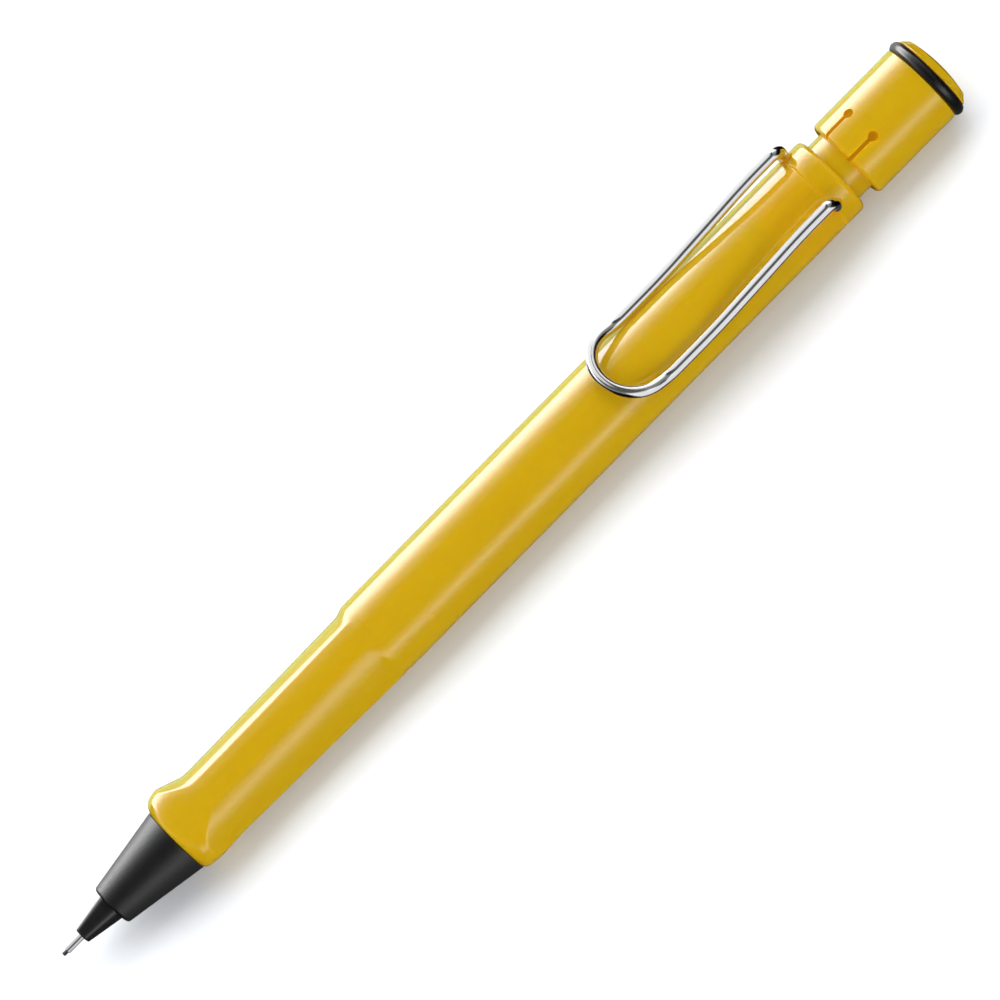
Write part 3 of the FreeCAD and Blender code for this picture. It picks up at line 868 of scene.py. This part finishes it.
# Light boxes are graded across their width by (angle, radiance) pairs.
KEY_BOX = [(-66, 2.3), (-45, 2.8), (-24, 2.3)]
FILL_BOX = [(46, 2.35), (69, 2.35)]
TABLE_LEFT = [(-165, 0.8), (-145, 0.9), (-125, 1.5)]
TABLE_GLOW = [(-165, 0.85), (-145, 0.95), (-125, 1.5)]
TABLE_RIGHT = [(118, 0.04), (140, 0.06), (165, 0.1)]
BIG_BOX = [(-125, 1.5), (-121, 8), (-112, 10), (-98, 10.5), (-90, 8.5), (-82, 5.5), (-75, 3.3),
           (-68, 1.9), (-62, 1.2), (-56, 0.7), (-50, 0.3), (-44, 0.08), (-38, 0)]
NARROW_BOX = [(20, 0), (30, 0.15), (36, 0.5), (42, 1.2), (48, 2.2), (53, 2.6), (58, 2.0),
              (64, 1.1), (71, 0.4), (78, 0.12), (90, 0.05), (100, 0)]
END_BOX = [(-115, 1.2), (-80, 2.2), (-45, 0.9), (-20, 0.3), (20, 0.2), (45, 0.4)]
TIP_BOX = [(-165, 1.5), (-145, 5), (-122, 5), (-116, 1), (-90, 0.2), (-60, 0)]
CONE_BOX = [(15, 0.3), (40, 0.45), (60, 0.5), (80, 0.45), (108, 0.25), (130, 0.1), (150, 0)]
METAL_LEFT = [(-170, 0.35), (-145, 0.6), (-125, 0.95), (-95, 1.15), (-60, 1.05), (-30, 0.8), (-22, 0.5)]
METAL_MIDDLE = [(-22, 0.1), (18, 0.1)]
METAL_RIGHT = [(18, 0.7), (30, 0.95), (60, 1.0), (110, 0.9)]
GLOW_COLOUR = (1.0, 1.55, 0.72)      # green-yellow, chosen for the colour of the yellow parts' left rim
BOX_DISTANCE = 0.6
TENT_STRENGTH = 0.67

YELLOW = ["barrel_shell", "collar_ring", "neck_shell", "cap_shell"]
POLISHED = ["clip_wire", "sleeve_tube", "clutch_sleeve", "clutch_ring", "chuck_stem",
            "chuck_jaw_1", "chuck_jaw_2", "chuck_jaw_3"]


def build_camera():
    """Camera square to the pencil, a little above its clip, turned to the picture's tilt."""
    data = bpy.data.cameras.new("camera")
    data.sensor_width = 36
    data.lens = data.sensor_width * VIEW_DISTANCE / VIEW_WIDTH
    data.clip_start = 0.01
    camera = bpy.data.objects.new("camera", data)
    bpy.context.scene.collection.objects.link(camera)
    along = Vector((1, 0, 0))
    right = along * math.cos(TILT) - ACROSS_VIEW * math.sin(TILT)
    up = along * math.sin(TILT) + ACROSS_VIEW * math.cos(TILT)
    turn = Matrix((right, up, TOWARD_CAMERA)).transposed().to_4x4()
    camera.matrix_world = Matrix.Translation(AIM + TOWARD_CAMERA * VIEW_DISTANCE) @ turn
    bpy.context.scene.camera = camera


def build_floor():
    size = 1.5
    mesh = bpy.data.meshes.new("floor")
    corners = [(-size, -size, 0), (size, -size, 0), (size, size, 0), (-size, size, 0)]
    mesh.from_pydata(corners, [], [[0, 1, 2, 3]])
    floor = new_object("floor", mesh)
    floor.location.z = -0.00002
    r = Recipe("paper_floor")
    fibre = r.noise(1.2, 3)
    r.set(Base_Color=r.blend(fibre, (0.835, 0.86, 0.897), (0.855, 0.88, 0.917)), Roughness=0.9)
    mesh.materials.append(r.material)
    floor.visible_glossy = False


def softbox(name, profile, glossy, shift=0.0, colour=(1, 1, 1)):
    """Long box light parallel to the pencil, its brightness graded across its width.

    The angle of the profile goes round the pencil from the camera's side, growing toward the
    lower edge of the picture. A box shows only in reflections, or only lights the surfaces,
    so that each can be balanced by itself. shift moves it along the pencil, in metres.
    """
    first = profile[0][0]
    last = profile[-1][0]
    centre = (first + last) / 2
    length = 0.8 if glossy else 1.6
    width = 2 * BOX_DISTANCE * math.tan(math.radians(last - first) / 2)
    brightest = max(radiance for _, radiance in profile)
    data = bpy.data.lights.new(name, "AREA")
    data.color = colour
    data.shape = "RECTANGLE"
    data.size = length
    data.size_y = width
    data.energy = brightest * math.pi * length * width
    data.use_nodes = True
    nodes = data.node_tree.nodes
    links = data.node_tree.links
    across = nodes.new("ShaderNodeSeparateXYZ")
    links.new(nodes.new("ShaderNodeNewGeometry").outputs["Parametric"], across.inputs["Vector"])
    ramp = nodes.new("ShaderNodeValToRGB")
    links.new(across.outputs["Y"], ramp.inputs["Fac"])
    stops = []
    for angle, radiance in profile:
        offset = BOX_DISTANCE * math.tan(math.radians(centre - angle))
        stops.append((0.5 + offset / width, radiance / brightest))
    elements = ramp.color_ramp.elements
    while len(elements) < len(stops):
        elements.new(0.5)
    for element, (position, level) in zip(elements, sorted(stops)):
        element.position = position
        element.color = (level, level, level, 1)
    links.new(ramp.outputs["Color"], nodes["Emission"].inputs["Strength"])
    light = bpy.data.objects.new(name, data)
    bpy.context.scene.collection.objects.link(light)
    turn = math.radians(centre)
    way = TOWARD_CAMERA * math.cos(turn) - ACROSS_VIEW * math.sin(turn)
    along = Vector((1, 0, 0))
    facing = Matrix((along, way.cross(along), way)).transposed().to_4x4()
    place = in_frame(70, 0, 0) + along * shift + way * BOX_DISTANCE
    light.matrix_world = Matrix.Translation(place) @ facing
    light.visible_camera = False
    light.visible_glossy = glossy
    light.visible_diffuse = not glossy
    return light


def link_light(light, names, state):
    """Limits a light to some pieces (INCLUDE) or keeps it off them (EXCLUDE)."""
    receivers = bpy.data.collections.new(light.name + "_receivers")
    for index, name in enumerate(names):
        receivers.objects.link(frame["nodes"].get(name) or bpy.data.objects[name])
        receivers.collection_objects[index].light_linking.link_state = state
    light.light_linking.receiver_collection = receivers


def build_light():
    """White tent for the soft light, and graded boxes for the reflections."""
    world = bpy.data.worlds.new("tent")
    bpy.context.scene.world = world
    world.use_nodes = True
    world.node_tree.nodes["Background"].inputs["Color"].default_value = (1, 1, 1, 1)
    world.node_tree.nodes["Background"].inputs["Strength"].default_value = TENT_STRENGTH
    world.cycles_visibility.glossy = False
    softbox("key", KEY_BOX, False)
    softbox("side_fill", FILL_BOX, False)
    link_light(softbox("table_left", TABLE_LEFT, True), YELLOW, "EXCLUDE")
    link_light(softbox("table_glow", TABLE_GLOW, True, colour=GLOW_COLOUR), YELLOW, "INCLUDE")
    softbox("table_right", TABLE_RIGHT, True)
    link_light(softbox("big_box", BIG_BOX, True), POLISHED + ["metal_tip"], "EXCLUDE")
    link_light(softbox("narrow_box", NARROW_BOX, True), POLISHED, "EXCLUDE")
    for end in (-1, 1):
        softbox("end_box", END_BOX, True, end * 0.85)
    link_light(softbox("tip_box", TIP_BOX, True), ["metal_tip"], "INCLUDE")
    link_light(softbox("cone_box", CONE_BOX, True), ["cone_shell"], "INCLUDE")
    link_light(softbox("metal_middle", METAL_MIDDLE, True), POLISHED, "INCLUDE")
    link_light(softbox("metal_left", METAL_LEFT, True), POLISHED, "INCLUDE")
    link_light(softbox("metal_right", METAL_RIGHT, True), POLISHED, "INCLUDE")


finish_cad_nodes()
build_barrel()
build_collar()
build_clip()
build_front_cone()
build_tip_cone()
build_lead_sleeve()
build_lead()
build_neck()
build_push_cap()
build_o_ring()
build_spring()
build_floor()
build_light()
build_camera()
bpy.context.scene.view_settings.view_transform = "Standard"
